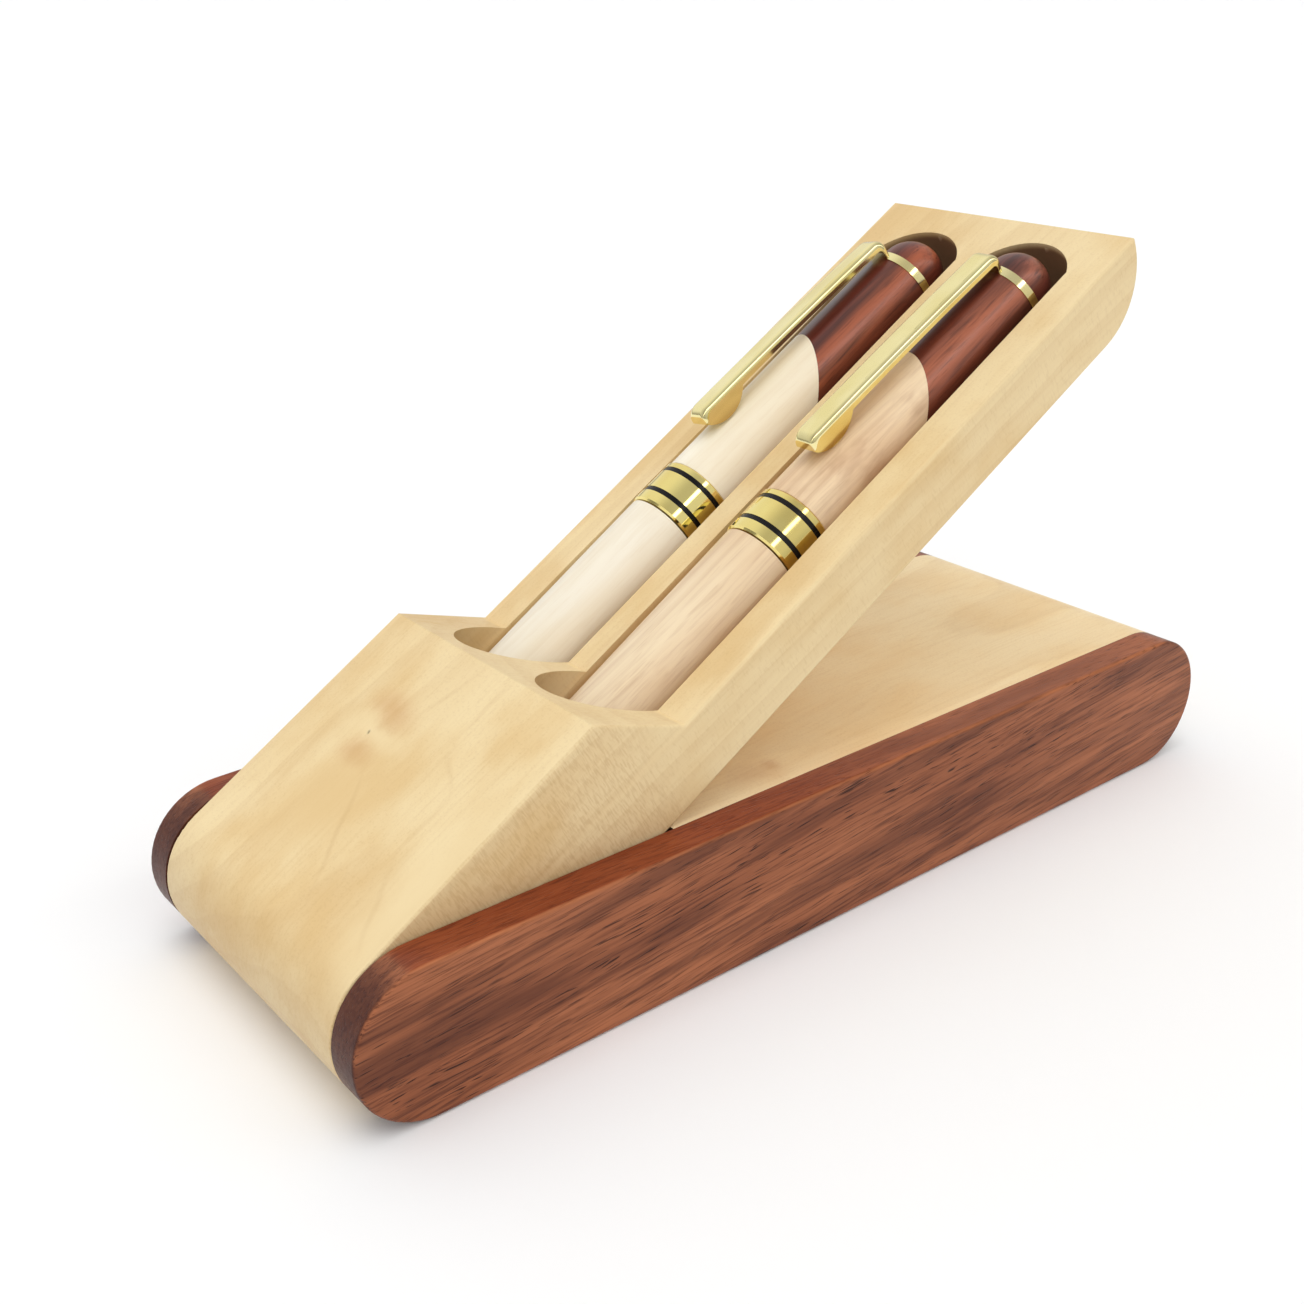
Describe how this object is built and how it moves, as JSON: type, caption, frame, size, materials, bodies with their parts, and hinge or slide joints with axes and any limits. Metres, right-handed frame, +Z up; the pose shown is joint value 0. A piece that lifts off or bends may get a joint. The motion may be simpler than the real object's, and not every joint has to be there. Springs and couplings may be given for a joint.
{
  "type": "fountain pen case",
  "caption": "Two-tone wooden flip case for fountain pens, stood open: a grooved tray swings round the end of the case and leans on its top panel to show the pens.",
  "frame": {"origin": "on the ground under the middle of the case", "axes": "+X along the case from the pivot end to the far end, +Y to the left when facing along +X, +Z up"},
  "size_m": [0.17, 0.063, 0.0926],
  "materials": {
    "rosewood": "satin oiled rosewood",
    "maple": "satin maple",
    "maple_pen_left": "polished maple",
    "maple_pen_right": "polished maple",
    "rosewood_pen": "polished rosewood",
    "gold": "polished gold plate",
    "brass_tube": "plain brass",
    "black_resin": "gloss black",
    "black_plastic": "matte black",
    "converter_plastic": "clear plastic",
    "pin_steel": "plain steel"
  },
  "bodies": {
    "case": {"left_rail": "rosewood", "right_rail": "rosewood", "top_panel": "maple", "pivot_pins": "pin_steel"},
    "tray": {"pen_tray": "maple"},
    "left_pen": {"left_pen_barrel_end": "gold", "left_pen_barrel": "maple_pen_left", "left_pen_barrel_tube": "brass_tube", "left_pen_grip_section": "black_resin", "left_pen_feed": "black_plastic", "left_pen_nib": "gold", "left_pen_converter": "converter_plastic"},
    "left_cap": {"left_pen_centre_band": "gold", "left_pen_band_inlays": "black_resin", "left_pen_cap_lower": "maple_pen_left", "left_pen_cap_upper": "rosewood_pen", "left_pen_cap_tube": "brass_tube", "left_pen_cap_plug": "brass_tube", "left_pen_finial": "rosewood_pen", "left_pen_clip": "gold"},
    "right_pen": {"right_pen_barrel_end": "gold", "right_pen_barrel": "maple_pen_right", "right_pen_barrel_tube": "brass_tube", "right_pen_grip_section": "black_resin", "right_pen_feed": "black_plastic", "right_pen_nib": "gold", "right_pen_converter": "converter_plastic"},
    "right_cap": {"right_pen_centre_band": "gold", "right_pen_band_inlays": "black_resin", "right_pen_cap_lower": "maple_pen_right", "right_pen_cap_upper": "rosewood_pen", "right_pen_cap_tube": "brass_tube", "right_pen_cap_plug": "brass_tube", "right_pen_finial": "rosewood_pen", "right_pen_clip": "gold"}
  },
  "joints": [
    {"name": "tray_flip", "type": "hinge", "parent": "case", "child": "tray", "pos_m": [-0.0732, 0, 0.0118], "axis": [0, -1, 0], "range_deg": [0, 329.1]},
    {"name": "left_pen_slide", "type": "slide", "parent": "tray", "child": "left_pen", "axis": [0.8582, 0, 0.5133], "range_m": [0, 0.002]},
    {"name": "left_cap_turn", "type": "hinge", "parent": "left_pen", "child": "left_cap", "pos_m": [0.00537, 0.01075, 0.05577], "axis": [0.8582, 0, 0.5133], "range_deg": [0, 55]},
    {"name": "right_pen_slide", "type": "slide", "parent": "tray", "child": "right_pen", "axis": [0.8582, 0, 0.5133], "range_m": [0, 0.002]},
    {"name": "right_cap_turn", "type": "hinge", "parent": "right_pen", "child": "right_cap", "pos_m": [0.00537, -0.01075, 0.05577], "axis": [0.8582, 0, 0.5133], "range_deg": [0, 55]}
  ]
}
